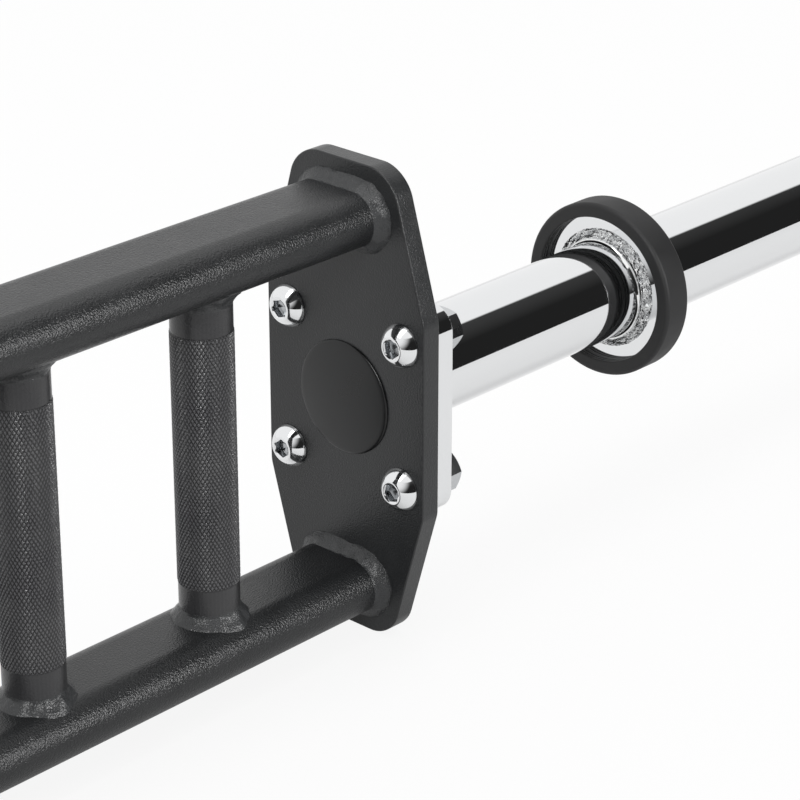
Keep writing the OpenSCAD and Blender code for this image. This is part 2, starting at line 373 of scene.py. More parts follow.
@dataclass(frozen=True)
class PolishedChrome(Finish):
    """Steel, polished and then hard chrome plated.

    It gives an almost perfect mirror, cool white, with a faint haze left by the polishing belt.

    Attributes:
        colour: Colour of the metal face on.
        bright: Roughness of the clearest patches.
        haze: Roughness of the haziest patches.
        patch_mm: Width of a patch of haze.
        wave_mm: Height of the slow waves that the belt leaves.
        wave_len: Length of those waves in millimetres.
    """

    colour: str = "#e8e9ea"
    bright: float = 0.025
    haze: float = 0.06
    patch_mm: float = 16.0
    wave_mm: float = 0.002
    wave_len: float = 5.0

    def shade(self, bench: Bench) -> Node:
        """Wire the shader. See Finish."""
        rough = bench.spread(bench.grain(self.patch_mm, octaves=4.0), self.bright, self.haze)
        wave = bench.grain(self.wave_len, octaves=1.0)
        return bench.surface(linear(self.colour), rough, bench.bump(wave, self.wave_mm))


@dataclass(frozen=True)
class ChromedWeld(Finish):
    """Weld metal left as laid, then chromed with the rest of the sleeve.

    It gives a glittering skin: a mirror broken by pits and spatter. The real pits are under a
    millimetre wide, and are drawn coarser so that they show.

    Attributes:
        dark: Colour in the pits.
        light: Colour on the crests.
        pit_mm: Width of a pit.
        relief_mm: Depth of the pits.
        smooth_r: Radius from the sleeve's axis, in millimetres, inside which the weld was blended by hand.
        fade: Distance over which the blending ends, in millimetres.
        blended: Value of the pits' noise that a blended face looks like.
        dull: Roughness in the pits.
        gloss: Roughness on the crests.
    """

    dark: str = "#4e5053"
    light: str = "#f2f3f3"
    pit_mm: float = 1.4
    relief_mm: float = 0.9
    smooth_r: float = 0.0
    fade: float = 1.2
    blended: float = 0.7
    dull: float = 0.08
    gloss: float = 0.03

    def shade(self, bench: Bench) -> Node:
        """Wire the shader. See Finish."""
        place = bench.where()
        away = bench.length(place["Y"], bench.work("SUBTRACT", place["Z"], AXIS_Z * MM))
        edge = (self.smooth_r * MM, (self.smooth_r + self.fade) * MM)
        laid = bench.remap(away, edge, (0.0, 1.0), ease=True)
        pits = bench.grain(self.pit_mm, octaves=3.0, rough=0.55)
        normal = bench.bump(bench.work("MULTIPLY", pits, laid), self.relief_mm)
        level = bench.mix(laid, self.blended, pits)
        rough = bench.spread(level, self.dull, self.gloss)
        return bench.surface(bench.tint(level, self.dark, self.light), rough, normal)


@dataclass(frozen=True)
class Moulded(Finish):
    """Black rubber or plastic as it leaves the mould.

    Rubber from a matt die is deep and dull, with a broad sheen on rounded edges. Polyethylene from a
    lightly spark-eroded die is satin, with a broad, even sheen.

    Attributes:
        dark: Colour of the darker patches.
        light: Colour of the paler ones.
        patch_mm: Width of a patch.
        octaves: Octaves of finer patches.
        skin_mm: Width of a grain of the die's texture.
        relief_mm: Height of that texture.
        gloss: Roughness of the smoothest patches.
        dull: Roughness of the dullest patches.
        ior: Index of refraction.
    """

    dark: str
    light: str
    patch_mm: float
    octaves: float
    skin_mm: float
    relief_mm: float
    gloss: float
    dull: float
    ior: float

    def shade(self, bench: Bench) -> Node:
        """Wire the shader. See Finish."""
        patch = bench.grain(self.patch_mm, self.octaves)
        normal = bench.bump(bench.grain(self.skin_mm, octaves=2.0), self.relief_mm)
        rough = bench.spread(patch, self.gloss, self.dull)
        return bench.surface(bench.tint(patch, self.dark, self.light), rough, normal, self.ior)


@dataclass(frozen=True)
class WhiteSheet(Finish):
    """Seamless white paper, matt.

    It gives a clean white ground that keeps the bar's soft shadow.

    Attributes:
        paper: Colour of the paper.
        glow: Share of plain white in what the camera sees.
        gleam: Share of plain white in what the chrome mirrors.
        mirrored: Level of that white in the chrome.
        fibre_mm: Width of the paper's fibres.
        fibre_high: Their height in millimetres.
    """

    paper: str = "#f4f4f4"
    glow: float = 0.9
    gleam: float = 0.45
    mirrored: float = 0.92
    fibre_mm: float = 4.0
    fibre_high: float = 0.05

    def shade(self, bench: Bench) -> Node:
        """Wire the shader. See Finish."""
        normal = bench.bump(bench.grain(self.fibre_mm, octaves=2.0), self.fibre_high, strength=0.2)
        paper = bench.add("BsdfDiffuse", {"Color": linear(self.paper), "Normal": normal})
        path = bench.add("LightPath").outputs
        strength = bench.remap(path["Is Camera Ray"], (0.0, 1.0), (self.mirrored, 1.0))
        white = bench.add("Emission", {"Color": WHITE, "Strength": strength})
        eye = bench.work("MULTIPLY", path["Is Camera Ray"], self.glow)
        share = bench.work("MULTIPLY_ADD", path["Is Glossy Ray"], self.gleam, eye)
        return bench.add("MixShader", {0: share, 1: paper.outputs[0], 2: white.outputs[0]})


class Finishes:
    """The materials of the bar, made once and shared by its pieces."""

    def __init__(self) -> None:
        """Make every material."""
        self.coat = PowderCoat("powder_coat_textured_black").make()
        # Painted light: the grips wear the same coat as the rails, drawn in a much lighter copy of its colour
        self.grip_coat = KnurledCoat(
            "powder_coat_on_knurl", "#38383a", "#414142", relief_mm=0.15, gloss=0.25, dull=0.32
        ).make()
        # Painted light: the plates wear the same coat as the rails, drawn in a lighter copy of its colour
        self.plate_coat = PowderCoat("powder_coat_on_plate", "#1e1f20", "#232425", relief_mm=0.16).make()
        # Painted light: the welds wear the same coat as the rails, drawn in a lighter copy of its colour
        self.weld_coat = PowderCoat(
            "powder_coat_over_weld", "#2a2b2c", "#313233", grain_mm=0.9, relief_mm=0.3
        ).make()
        self.chrome = PolishedChrome("hard_chrome_polished").make()
        self.fastener = PolishedChrome("bright_nickel_plated", bright=0.04, haze=0.1).make()
        self.nut = PolishedChrome("zinc_plated_nut", "#c8cacc", bright=0.2, haze=0.34, wave_mm=0.02).make()
        # The faces inside the sockets get a darker, rougher copy of the plating
        self.socket = PolishedChrome("thin_nickel_in_sockets", "#b4b6b8", bright=0.1, haze=0.2).make()
        self.chrome_weld = ChromedWeld("hard_chrome_over_weld").make()
        self.blended_weld = ChromedWeld(
            "hard_chrome_over_blended_weld", "#9a9c9e", pit_mm=3.6, relief_mm=3.6, smooth_r=25.7
        ).make()
        self.rubber = Moulded(
            "moulded_rubber_black", "#0f0f10", "#141415", patch_mm=14.0, octaves=3.0,
            skin_mm=0.5, relief_mm=0.012, gloss=0.5, dull=0.6, ior=1.46,
        ).make()
        self.plastic = Moulded(
            "moulded_polyethylene_black", "#08090a", "#0d0e0f", patch_mm=18.0, octaves=2.0,
            skin_mm=0.6, relief_mm=0.008, gloss=0.26, dull=0.34, ior=1.44,
        ).make()


# Shop tools


def verts_of(geom: Iterable) -> list[bmesh.types.BMVert]:
    """The vertices among what a bmesh operator made."""
    return [g for g in geom if isinstance(g, bmesh.types.BMVert)]


class Blank:
    """A piece being worked, as a bmesh in millimetres."""

    def __init__(self) -> None:
        """Start with nothing."""
        self.bm = bmesh.new()

    def loop(self, points: Iterable[Place], closed: bool = True) -> list:
        """Lay a few points joined by edges.

        Args:
            points: The points in order.
            closed: Whether the last is joined to the first.

        Returns:
            The new vertices and edges.
        """
        verts = [self.bm.verts.new(p) for p in points]
        pairs = list(zip(verts, verts[1:] + verts[:1]))
        edges = [self.bm.edges.new(pair) for pair in (pairs if closed else pairs[:-1])]
        return verts + edges

    def turn(self, section: Points, steps: int, closed: bool = True) -> "Blank":
        """Turn a section about Z on the lathe.

        Args:
            section: Radius and height of each point.
            steps: Facets round the piece.
            closed: Whether the section is a closed outline.

        Returns:
            This blank.
        """
        geom = self.loop([(r, 0.0, z) for r, z in section], closed)
        about = {"cent": (0, 0, 0), "axis": (0, 0, 1), "dvec": (0, 0, 0)}
        bmesh.ops.spin(self.bm, geom=geom, angle=TURN, steps=steps, use_merge=True, **about)
        bmesh.ops.remove_doubles(self.bm, verts=self.bm.verts, dist=1e-5)
        return self.face_out()

    def ring(self, edges: list, radius: Measure, height: Measure) -> list:
        """Extrude an open ring of edges and bring it to a radius and a height.

        Args:
            edges: The ring's edges.
            radius: New radius about Z, or a function of the angle.
            height: New height, or a function of the angle.

        Returns:
            The new ring's edges.
        """
        made = bmesh.ops.extrude_edge_only(self.bm, edges=edges)["geom"]
        for v in verts_of(made):
            angle = math.atan2(v.co.y, v.co.x)
            r = radius(angle) if callable(radius) else radius
            z = height(angle) if callable(height) else height
            v.co = (r * math.cos(angle), r * math.sin(angle), z)
        return [g for g in made if isinstance(g, bmesh.types.BMEdge)]

    def rings(self, edges: list, rounds: Iterable[tuple[Measure, Measure]]) -> list:
        """Extrude an open ring of edges through several radii and heights.

        Args:
            edges: The ring's edges.
            rounds: The radius and height of each new ring, as for ring.

        Returns:
            The last ring's edges.
        """
        for radius, height in rounds:
            edges = self.ring(edges, radius, height)
        return edges

    def open_edges(self) -> list:
        """The edges with a face on one side only."""
        return [e for e in self.bm.edges if e.is_boundary]

    def face_out(self) -> "Blank":
        """Point every face outwards."""
        bmesh.ops.recalc_face_normals(self.bm, faces=self.bm.faces)
        return self

    def shift(self, x: float = 0.0, y: float = 0.0, z: float = 0.0) -> "Blank":
        """Move the whole piece."""
        bmesh.ops.translate(self.bm, verts=self.bm.verts, vec=(x, y, z))
        return self

    def swing(self, degrees: float, axis: str) -> "Blank":
        """Turn the whole piece about an axis through the origin.

        Args:
            degrees: The turn.
            axis: X, Y or Z.

        Returns:
            This blank.
        """
        matrix = Matrix.Rotation(math.radians(degrees), 3, axis)
        bmesh.ops.rotate(self.bm, verts=self.bm.verts, cent=(0, 0, 0), matrix=matrix)
        return self

    def flip(self, axis: str) -> "Blank":
        """Mirror the whole piece.

        Args:
            axis: The axis that crosses the mirror plane at the origin.

        Returns:
            This blank.
        """
        vec = tuple(-1.0 if name == axis else 1.0 for name in "XYZ")
        bmesh.ops.scale(self.bm, verts=self.bm.verts, vec=vec)
        bmesh.ops.reverse_faces(self.bm, faces=self.bm.faces)
        return self

    def pull_apart(self, stretch: float) -> "Blank":
        """Pull the two halves of a round piece apart along X, and so make it a flat oval.

        Args:
            stretch: Length of the straight runs between them.

        Returns:
            This blank.
        """
        for v in self.bm.verts:
            v.co.x += math.copysign(stretch / 2, v.co.x)
        return self

    def lay_along(self) -> "Blank":
        """Lay a piece that was turned about Z along +X, with its X across the bar and its Y up."""
        return self.swing(90, "X").swing(90, "Z")

    def copy(self) -> "Blank":
        """Copy the piece.

        Returns:
            A second blank of the same shape.
        """
        twin = Blank()
        twin.bm.free()
        twin.bm = self.bm.copy()
        return twin

    def join(self, other: "Blank") -> "Blank":
        """Take another blank's shape into this one.

        Args:
            other: The blank to take in, which is used up.

        Returns:
            This blank.
        """
        mesh = bpy.data.meshes.new("joining")
        other.bm.to_mesh(mesh)
        other.bm.free()
        self.bm.from_mesh(mesh)
        bpy.data.meshes.remove(mesh)
        return self


@dataclass(frozen=True)
class Piece:
    """What a finished piece is called and stands for.

    Attributes:
        name: The piece's own name.
        nodes: CAD nodes that it stands for.
        slot: The record's slot that its finish would come from; not used.
        material: Its finish.
        sharp_deg: Edges steeper than this stay crisp.
        inside: Finish of the faces that are marked as the inside of a recess.
    """

    name: str
    nodes: tuple[str, ...]
    slot: str
    material: Material
    sharp_deg: float = 40.0
    inside: Material | None = None

    def finish(self, blank: Blank) -> None:
        """Bring a blank to metres and set it on the frame.

        Args:
            blank: The worked blank, which is used up.
        """
        bm = blank.bm
        bmesh.ops.scale(bm, verts=bm.verts, vec=(MM, MM, MM))
        mesh = bpy.data.meshes.new(self.name)
        bm.to_mesh(mesh)
        bm.free()
        mesh.polygons.foreach_set("use_smooth", [True] * len(mesh.polygons))
        mesh.set_sharp_from_angle(angle=math.radians(self.sharp_deg))
        mesh.materials.append(self.material)
        if self.inside:
            mesh.materials.append(self.inside)
        obj = bpy.data.objects.new(self.name, mesh)
        bpy.context.scene.collection.objects.link(obj)
        even = obj.modifiers.new("even_normals", "WEIGHTED_NORMAL")
        even.keep_sharp = True
        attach(obj, "root")
        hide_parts(*self.nodes)
        log.info("%s: %d faces", self.name, len(mesh.polygons))


@dataclass
class Assembly:
    """A sub-assembly of the bar.

    Attributes:
        finishes: The bar's materials.
    """

    finishes: Finishes

    def set_end(self, side: Side, blank: Blank, names: tuple[str, str], slot: str, *looks: object) -> None:
        """Finish a piece for one end of the bar.

        Args:
            side: Which end. A piece for the left one is mirrored.
            blank: The piece as worked for the right end.
            names: The starts of the piece's own name and of its node's name.
            slot: The record's slot, passed on to the piece, which does not use it.
            *looks: Its material, and the rest of what a Piece takes.
        """
        if side is Side.LEFT:
            blank.flip("X")
        own, node = (f"{name}_{side.tag}" for name in names)
        Piece(own, (node,), slot, *looks).finish(blank)


@dataclass(frozen=True)
class Bead:
    """A weld bead, laid in short overlapping ripples.

    Attributes:
        section: Points of its face from one toe to the other, away from the joint and up it.
        ripple_mm: Distance from one ripple to the next.
        ripple_high: Height of a ripple.
        lump_high: Height of the slow swells along the bead.
        seed: Place in the noise, so that no two beads are alike.
        smooth_above: Share of the height above which the bead was blended smooth.
        grit_high: Height of the coarse grit on it, about a millimetre wide.
        seed_mm: Distance in the noise from one seed to the next.
        lump_mm: Length of a swell.
        grit_finer: How many times finer the grit is than the swells.
        stray_finer: The same for the noise that makes the ripples stray.
        sunk: Depth of the bead's hidden back below the tube's surface.
        lean: How far a ripple's middle runs ahead of its toes, in ripples.
        stray: How far a ripple strays from the even beat, in ripples.
        toe_share: Share of a ripple's height that is left at the toes.
        power: Power of a ripple's fall from its steep front, which rounds its back.
        fade_share: Share of the bead's height over which the blending ends.
    """

    section: Points
    ripple_mm: float = 1.7
    ripple_high: float = 0.16
    lump_high: float = 0.3
    seed: int = 0
    smooth_above: float = 2.0
    grit_high: float = 0.0
    seed_mm: float = 97.0
    lump_mm: float = 5.0
    grit_finer: float = 5.5
    stray_finer: float = 1.7
    sunk: float = 0.3
    lean: float = 0.55
    stray: float = 0.9
    toe_share: float = 0.35
    power: float = 0.7
    fade_share: float = 0.2

    def lay(self, inner: float, steps: int, stretch: float = 0.0) -> Blank:
        """Lay the bead round a tube about Z, on a face at height 0.

        Args:
            inner: Radius of the tube.
            steps: Facets round it.
            stretch: Length of the straight runs where the tube is a flat oval, along X.

        Returns:
            The bead as a blank.
        """
        outline = [(inner + a, b) for a, b in self.section]
        low = min(b for _, b in outline)
        back = inner - self.sunk
        blank = Blank().turn(outline + [(back, outline[-1][1]), (back, low)], steps)
        if stretch:
            self.pull_oval(blank, stretch)
        self.rough(blank, inner, stretch)
        return blank

    def pull_oval(self, blank: Blank, stretch: float) -> None:
        """Pull the two halves of a round bead apart, and divide the straight runs as finely as the rest.

        Args:
            blank: The bead.
            stretch: Length of the straight runs.
        """
        off_centre_deg = math.degrees(1e-3)
        cuts_per_ripple = 4
        bm = blank.swing(off_centre_deg, "Z").pull_apart(stretch).bm
        runs = [e for e in bm.edges if abs(e.verts[0].co.x - e.verts[1].co.x) > stretch * 0.9]
        cuts = int(stretch / self.ripple_mm * cuts_per_ripple)
        bmesh.ops.subdivide_edges(bm, edges=runs, cuts=cuts, use_grid_fill=True)

    def rough(self, blank: Blank, inner: float, stretch: float) -> None:
        """Raise the ripples, swells and grit on the bead's face.

        Args:
            blank: The bead.
            inner: Radius of the tube.
            stretch: Length of the straight runs.
        """
        blank.bm.normal_update()
        high = max(b for _, b in self.section)
        wide = max(a for a, _ in self.section)
        back_r = inner + 0.02 * wide
        raised = []
        for v in blank.bm.verts:
            middle = max(-stretch / 2, min(stretch / 2, v.co.x))
            out = Vector((v.co.x - middle, v.co.y))
            if out.length < back_r:
                continue
            angle = math.atan2(out.y, out.x)
            along = angle * (inner + wide / 2) + (middle * math.copysign(1.0, -out.y) if stretch else 0.0)
            raised.append((v, v.normal * self.height(v.co, along, high)))
        for v, step in raised:
            v.co += step

    def height(self, place: Vector, along: float, high: float) -> float:
        """How far the face is raised at a place.

        Args:
            place: The place on the bead.
            along: Its distance along the bead.
            high: The bead's height.

        Returns:
            The distance along the face's normal.
        """
        across = min(1.0, max(0.0, place.z / high))
        crown = 4 * across * (1 - across)
        spot = Vector((place.x, place.y, place.z + self.seed * self.seed_mm)) / self.lump_mm
        swell = noise.noise(spot) * self.lump_high
        beat = along / self.ripple_mm + self.lean * crown + self.stray * noise.noise(spot * self.stray_finer)
        tooth = beat - math.floor(beat)
        share = self.toe_share + (1 - self.toe_share) * crown
        ripple = (1 - tooth) ** self.power * self.ripple_high * share
        grit = noise.noise(spot * self.grit_finer) * self.grit_high
        left = (self.smooth_above * high - place.z) / (self.fade_share * high)
        return (swell + ripple + grit - self.ripple_high / 2) * min(1.0, max(0.0, left))


def hollow_face(leg: float, rise: float, dip: float, powers: Pair) -> list[Pair]:
    """The face of a bead that is hollow between its toes.

    Args:
        leg: Reach of one toe away from the joint.
        rise: Reach of the other up it.
        dip: Share by which the middle is hollow.
        powers: How steeply it leaves each toe.

    Returns:
        The points of the face.
    """
    points = []
    steps = 10
    for k in range(steps + 1):
        a = math.pi / 2 * k / steps
        left = 1.0 - dip * math.sin(2 * a)
        points.append((leg * math.cos(a) ** powers[0] * left, rise * math.sin(a) ** powers[1] * left))
    return points


def cut_plate(outline: Points, reach: dict[float, float], thick: float, edge_r: float, bore: float) -> Blank:
    """Cut a plate with rounded corners, rounded edges, a bore and the four bolt holes.

    Args:
        outline: Its sharp corners in order.
        reach: How far a corner's rounding reaches along its edges, by the corner's distance up or down.
        thick: Thickness up Z from the XY plane.
        edge_r: Rounding of the edges of both faces.
        bore: Radius of the hole in the middle.

    Returns:
        The plate as a blank.
    """
    corner_steps, edge_steps, bore_steps, hole_steps = 14, 4, 72, 36
    near = 1e-4
    blank = Blank()
    bm = blank.bm
    rounding = {"offset_type": "OFFSET", "profile": 0.5, "material": -1}
    bm.faces.new(verts_of(blank.loop([(x, y, 0.0) for x, y in outline])))
    for height, length in reach.items():
        corners = [v for v in bm.verts if abs(abs(v.co.y) - height) < near]
        size = {"offset": length, "segments": corner_steps}
        bmesh.ops.bevel(bm, geom=corners, affect="VERTICES", **size, **rounding)
    raised = bmesh.ops.extrude_face_region(bm, geom=bm.faces[:])["geom"]
    bmesh.ops.translate(bm, verts=verts_of(raised), vec=(0, 0, thick))
    blank.face_out()
    rims = [e for e in bm.edges if abs(e.verts[0].co.z - e.verts[1].co.z) < near]
    bmesh.ops.bevel(bm, geom=rims, offset=edge_r, segments=edge_steps, affect="EDGES", **rounding)
    flats = [f for f in bm.faces if abs(f.normal.z) > 0.999 and len(f.verts) > 8]
    bmesh.ops.delete(bm, geom=flats, context="FACES_ONLY")
    circles = [(0.0, 0.0, bore, bore_steps)] + [(*place, HOLE_R, hole_steps) for place in BOLT_PLACES]
    walls: dict[Pair, list] = {}
    for z in (0.0, thick):
        rim = [e for e in blank.open_edges() if abs(e.verts[0].co.z - z) < near]
        for x, y, radius, steps in circles:
            place = Matrix.Translation((x, y, z))
            made = bmesh.ops.create_circle(bm, cap_ends=False, segments=steps, radius=radius, matrix=place)
            edges = list(dict.fromkeys(e for v in made["verts"] for e in v.link_edges))
            walls.setdefault((x, y), []).extend(edges)
            rim += edges
        bmesh.ops.triangle_fill(bm, edges=rim, use_beauty=True)
    for edges in walls.values():
        bmesh.ops.bridge_loops(bm, edges=edges)
    return blank.face_out()


@dataclass(frozen=True)
class Stem:
    """The hollow stem that holds a cap or a plug in the bore of a sleeve.

    Attributes:
        length: How far it goes into the bore.
        wall: Its wall.
        lead: Width and length of the slope at its end.
    """

    length: float = 16.0
    wall: float = 2.5
    lead: Pair = (0.4, 0.8)

    def section(self) -> list[Pair]:
        """Half the stem's section, down from the middle of the head's back and up to its edge.

        Returns:
            Radius and height of each point.
        """
        inner, end = BORE_R - self.wall, -self.length
        across, up = self.lead
        tip = [(inner, end), (BORE_R - across, end), (BORE_R, end + up)]
        return [(0.0, 0.0), (inner, 0.0), *tip, (BORE_R, 0.0)]


# Frame: rails, grips and end plates


@dataclass
class Rails(Assembly):
    """The two flat-oval tubes that run the length of the grip frame. See Assembly.

    Attributes:
        width: Across the bar.
        height: Up the bar.
        wall: Thickness of the tube.
        steps: Facets round the two half circles.
    """

    width: float = 50.0
    height: float = 26.0
    wall: float = 3.0
    steps: int = 120

    def build(self) -> None:
        """Make both rails."""
        for level in Level:
            piece = Piece(f"{level.tag}_rail_tube", (f"rail_{level.tag}",), "painted", self.finishes.coat)
            piece.finish(self.tube().shift(z=level.value))

    def tube(self) -> Blank:
        """Draw one tube along X, with the origin at its middle.

        Returns:
            The tube as a blank.
        """
        blank = Blank()
        bm = blank.bm
        bmesh.ops.create_circle(bm, cap_ends=False, segments=self.steps, radius=self.height / 2)
        blank.swing(180 / self.steps, "Z").pull_apart(self.width - self.height)
        drawn = bmesh.ops.extrude_edge_only(bm, edges=bm.edges)["geom"]
        bmesh.ops.translate(bm, verts=verts_of(drawn), vec=(0, 0, 2 * PLATE_X))
        blank.face_out()
        bmesh.ops.solidify(bm, geom=bm.faces, thickness=self.wall)
        return blank.face_out().lay_along().shift(x=-PLATE_X)


@dataclass
class Grips(Assembly):
    """The upright grips: tubes with a diamond-knurled zone between plain bands. See Assembly.

    Attributes:
        count: Number of grips.
        band_r: Radius of the plain bands.
        bore_r: Radius of the bore.
        knurl_len: Length of the knurled zone.
        run_out: Length of the slope from it to a band.
        length: From rail to rail, with what the cope hides.
        starts: Grooves of each hand round the grip, 1.9 mm apart.
        rows: Diamonds up the grip, 3.2 mm each for a 30 degree knurl.
        chamfer: Width of a diamond's sloping sides.
    """

    count: int = 8
    band_r: float = 14.0
    bore_r: float = 10.5
    knurl_len: float = 122.0
    run_out: float = 0.35
    length: float = 158.3
    starts: int = 48
    rows: int = 38
    chamfer: float = 0.52

    def places(self) -> list[float]:
        """Where the grips stand along the bar."""
        return [(number - (self.count - 1) / 2) * GRIP_PITCH for number in range(self.count)]

    def build(self) -> None:
        """Make every grip."""
        master = self.grip()
        coat = self.finishes.grip_coat
        for number, x in enumerate(self.places(), 1):
            names = f"grip_{number}_knurled_tube", (f"handle_{number}",)
            Piece(*names, "painted", coat, sharp_deg=25.0).finish(master.copy().shift(x=x, z=AXIS_Z))
        master.bm.free()

    def grip(self) -> Blank:
        """Knurl and bore one grip, upright, with the origin at its middle.

        Returns:
            The grip as a blank.
        """
        blank = Blank()
        bm = blank.bm
        size = {"radius1": GROOVE_R, "radius2": GROOVE_R, "depth": self.knurl_len}
        bmesh.ops.create_cone(bm, cap_ends=False, segments=self.starts, **size)
        upright = [e for e in bm.edges if abs(e.verts[0].co.z - e.verts[1].co.z) > 1]
        bmesh.ops.subdivide_edges(bm, edges=upright, cuts=self.rows - 1, use_grid_fill=True)
        self.roll_knurl(bm)
        shoulder, end = self.knurl_len / 2 + self.run_out, self.length / 2
        for way in (1, -1):
            edges = [e for e in blank.open_edges() if e.verts[0].co.z * way > 1]
            rounds = [(self.band_r, shoulder * way), (self.band_r, end * way), (self.bore_r, end * way)]
            blank.rings(edges, rounds)
        bmesh.ops.bridge_loops(bm, edges=blank.open_edges())
        return blank.face_out()

    def roll_knurl(self, bm: bmesh.types.BMesh) -> None:
        """Roll crossed helical grooves into a tube of square cells, which leaves raised diamonds.

        Args:
            bm: The tube, one cell to each groove crossing.
        """
        cells = list(bm.faces)
        lattice = [e for e in bm.edges if not e.is_boundary]
        bmesh.ops.poke(bm, faces=cells)
        bmesh.ops.dissolve_edges(bm, edges=lattice, use_verts=False, use_face_split=False)
        for v in bm.verts:
            v.co.x, v.co.y = v.co.xy.normalized() * GROOVE_R
        bm.normal_update()
        if sum(f.normal.xy.dot(f.calc_center_median().xy) for f in bm.faces) < 0:
            bmesh.ops.reverse_faces(bm, faces=bm.faces)
        tooth = {"thickness": self.chamfer, "depth": CREST_R - GROOVE_R}
        bmesh.ops.inset_individual(bm, faces=bm.faces, use_even_offset=True, **tooth)


@dataclass
class GripWelds(Assembly):
    """The flared fillets that join the grips to a rail. See Assembly.

    Attributes:
        grips: The grips that they run round.
        rails: The rails that they lie on.
        leg: Reach along the rail.
        rise: Reach up the grip.
        skirt: Points below the rail's flat face, beyond the leg and up, for the rail's rounded sides.
        face: Points of the face as shares of the leg and the rise.
        seeds: First place in the noise of each rail's fillets.
        steps: Facets round a fillet.
    """

    grips: Grips
    rails: Rails
    leg: float = 4.0
    rise: float = 5.0
    skirt: Points = ((1.3, -2.3), (0.62, -1.1))
    face: Points = (
        (1.0, 0.0), (0.8, 0.15), (0.62, 0.31), (0.45, 0.48), (0.29, 0.66), (0.16, 0.82), (0.07, 0.94),
        (0.02, 1.06), (0.0, 1.16),
    )
    seeds: tuple[int, int] = (0, 20)
    steps: int = 200

    def build(self) -> None:
        """Lay the fillets on both rails."""
        for level, first in zip(Level, self.seeds):
            row = Blank()
            for number, x in enumerate(self.grips.places()):
                bead = self.fillet(first + number)
                toward_grips = 1
                if level is Level.TOP:
                    bead.flip("Z")
                    toward_grips = -1
                row.join(bead.shift(x=x, z=level.value + toward_grips * self.rails.height / 2))
            names = f"{level.tag}_grip_fillets", (f"handle_welds_{level.tag}",)
            Piece(*names, "painted_weld", self.finishes.weld_coat).finish(row)

    def fillet(self, seed: int) -> Blank:
        """Lay one fillet round a grip that stands on a face at height 0.

        Args:
            seed: Place in the noise.

        Returns:
            The fillet as a blank.
        """
        section = [(self.leg + a, b) for a, b in self.skirt]
        section += [(self.leg * a, self.rise * b) for a, b in self.face]
        bead = Bead(section, ripple_mm=3.4, ripple_high=0.1, lump_high=0.75, seed=seed)
        return bead.lay(self.grips.band_r, self.steps)


@dataclass
class EndPlates(Assembly):
    """The two thick plates that close the frame, tapered above and below the sleeve. See Assembly.

    Attributes:
        thick: Thickness.
        half_w: Half the width between the upright sides.
        half_h: Half the height.
        half_top: Half the width of the short edges, to the sharp corners.
        half_side: Half the height of the upright sides.
        corner_r: Rounding at the short edges.
        side_r: Rounding where a taper meets an upright side.
        edge_r: Rounding of the faces' edges.
        bore_r: Radius of the hole for the sleeve tube.
    """

    thick: float = 10.5
    half_w: float = 49.6
    half_h: float = 116.5
    half_top: float = 29.6
    half_side: float = 47.5
    corner_r: float = 18.0
    side_r: float = 12.0
    edge_r: float = 0.7
    bore_r: float = 25.3

    def build(self) -> None:
        """Make both plates."""
        for side in Side:
            blank = self.plate().lay_along().shift(x=PLATE_X, z=AXIS_Z)
            self.set_end(side, blank, ("tapered_end_plate", "end_plate"), "painted", self.finishes.plate_coat)

    def plate(self) -> Blank:
        """Cut one plate, flat on the XY plane and as thick as it is up Z.

        Returns:
            The plate as a blank.
        """
        quarter = [(self.half_top, self.half_h), (self.half_w, self.half_side)]
        right = quarter + [(x, -y) for x, y in reversed(quarter)]
        outline = right + [(-x, y) for x, y in reversed(right)]
        lean = math.atan2(self.half_w - self.half_top, self.half_h - self.half_side)
        reach = {
            self.half_h: self.corner_r * math.tan((math.pi / 2 - lean) / 2),
            self.half_side: self.side_r * math.tan(lean / 2),
        }
        return cut_plate(outline, reach, self.thick, self.edge_r, self.bore_r)


@dataclass
class RailWelds(Assembly):
    """The beads that run right round the rails where they meet the end plates. See Assembly.

    Attributes:
        rails: The rails that they run round.
        leg: Reach along the plate.
        rise: Reach along the rail.
        seeds: Place in the noise of each bead, in the order that they are laid.
        steps: Facets round the two half circles of a bead.
    """

    rails: Rails
    leg: float = 4.8
    rise: float = 5.76
    seeds: tuple[int, ...] = (105, 96, 108, 99)
    steps: int = 160

    def build(self) -> None:
        """Lay both beads on both plates."""
        seeds = iter(self.seeds)
        for side in Side:
            pair = Blank()
            for level in Level:
                bead = self.bead(next(seeds)).swing(180, "Y").lay_along()
                pair.join(bead.shift(x=PLATE_X, z=level.value))
            names = ("rail_end_beads", "rail_welds")
            self.set_end(side, pair, names, "painted_weld", self.finishes.weld_coat)

    def bead(self, seed: int) -> Blank:
        """Lay one bead round a rail that stands on a face at height 0.

        Args:
            seed: Place in the noise.

        Returns:
            The bead as a blank.
        """
        section = hollow_face(self.leg, self.rise, dip=0.2, powers=(1.45, 1.1))[:-1]
        section += [(0.0, self.rise * 1.06), (0.0, self.rise * 1.08)]
        bead = Bead(section, ripple_mm=3.6, ripple_high=0.1, lump_high=0.8, seed=seed)
        return bead.lay(self.rails.height / 2, self.steps, self.rails.width - self.rails.height)


# Fasteners and caps


